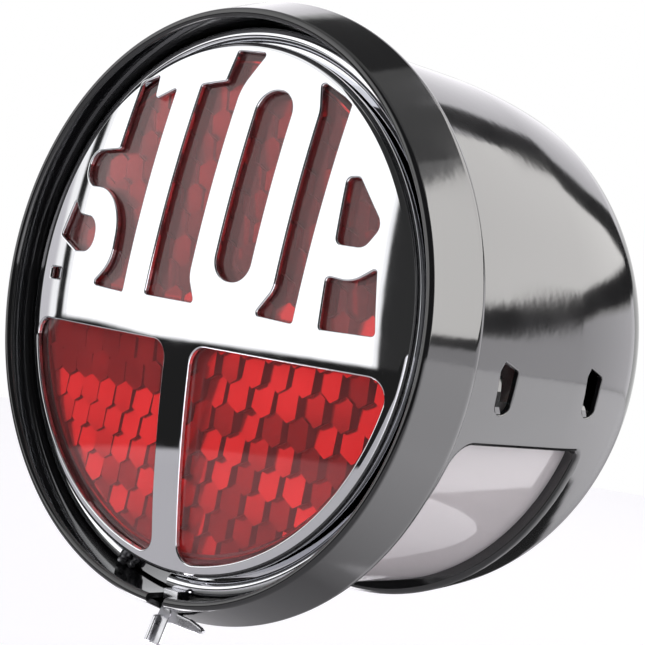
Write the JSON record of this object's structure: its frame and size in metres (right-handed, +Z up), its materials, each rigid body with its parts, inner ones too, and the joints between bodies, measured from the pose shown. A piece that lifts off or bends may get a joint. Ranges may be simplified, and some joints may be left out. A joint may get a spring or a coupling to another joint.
{
  "type": "motorcycle tail light",
  "caption": "Round bowl-shaped motorcycle tail and stop light with a pierced chrome grille over a red lens, a spring retaining ring and a clear number plate window.",
  "frame": {"origin": "centre of the flat rear face of the bucket, where the lamp lies against its bracket", "axes": "+Y points back out of the rear face along the lamp's axis, the lens faces -Y, and +Z is up as the lamp is mounted, with the number plate window below"},
  "size_m": [0.114, 0.1002, 0.118],
  "materials": {
    "black_paint": "gloss black enamel on pressed steel",
    "chrome": "polished chrome plate",
    "red_lens": "clear red acrylic with prism cells on its inside",
    "clear_sheet": "clear bent sheet",
    "rubber": "matt black rubber",
    "reflector": "bright pressed reflector",
    "zinc_steel": "zinc-plated steel",
    "spring_steel": "plain spring steel",
    "brass": "bright brass",
    "solder": "dull solder",
    "phenolic": "dark moulded phenolic",
    "bulb_glass": "clear blown glass",
    "filament_metal": "drawn wire"
  },
  "bodies": {
    "housing": {"bucket": "black_paint", "lens_seat_ring": "black_paint", "lens_gasket": "rubber", "plate_window": "clear_sheet", "reflector": "reflector", "socket_bracket": "zinc_steel", "bulb_socket_shell": "zinc_steel", "contact_spring": "spring_steel", "mounting_bolts": "zinc_steel", "bolt_lock_washers": "spring_steel", "bolt_flat_washers": "zinc_steel", "wire_grommet": "rubber"},
    "ring": {"retaining_ring": "chrome", "ring_finger_tab": "chrome"},
    "grille": {"grille": "chrome"},
    "lens": {"lens": "red_lens"},
    "bulb": {"bulb_glass": "bulb_glass", "bulb_cap": "brass", "bulb_cap_pins": "brass", "bulb_cap_insulator": "phenolic", "bulb_cap_contacts": "solder", "bulb_stem": "bulb_glass", "bulb_support_wires": "filament_metal", "tail_filament": "filament_metal", "stop_filament": "filament_metal"},
    "contact_plate": {"socket_contact_carrier": "phenolic", "socket_contacts": "brass"}
  },
  "joints": [
    {"name": "ring_release", "type": "slide", "parent": "housing", "child": "ring", "axis": [0, -1, 0], "range_m": [0, 0.06]},
    {"name": "grille_lift", "type": "slide", "parent": "housing", "child": "grille", "axis": [0, -1, 0], "range_m": [0, 0.04]},
    {"name": "lens_lift", "type": "slide", "parent": "housing", "child": "lens", "axis": [0, -1, 0], "range_m": [0, 0.02]},
    {"name": "bulb_push", "type": "slide", "parent": "housing", "child": "bulb", "axis": [0, 1, 0], "range_m": [0, 0.0025], "stiffness_N_per_m": 1500, "springref_m": -0.005},
    {"name": "contact_push", "type": "slide", "parent": "housing", "child": "contact_plate", "axis": [0, 1, 0], "range_m": [0, 0.0025], "deforming": ["contact_spring"]}
  ],
  "couplings": [
    {"joint": "grille_lift", "follows": "ring_release", "ratio": 0.6666},
    {"joint": "lens_lift", "follows": "ring_release", "ratio": 0.3333},
    {"joint": "contact_push", "follows": "bulb_push", "ratio": 1}
  ]
}
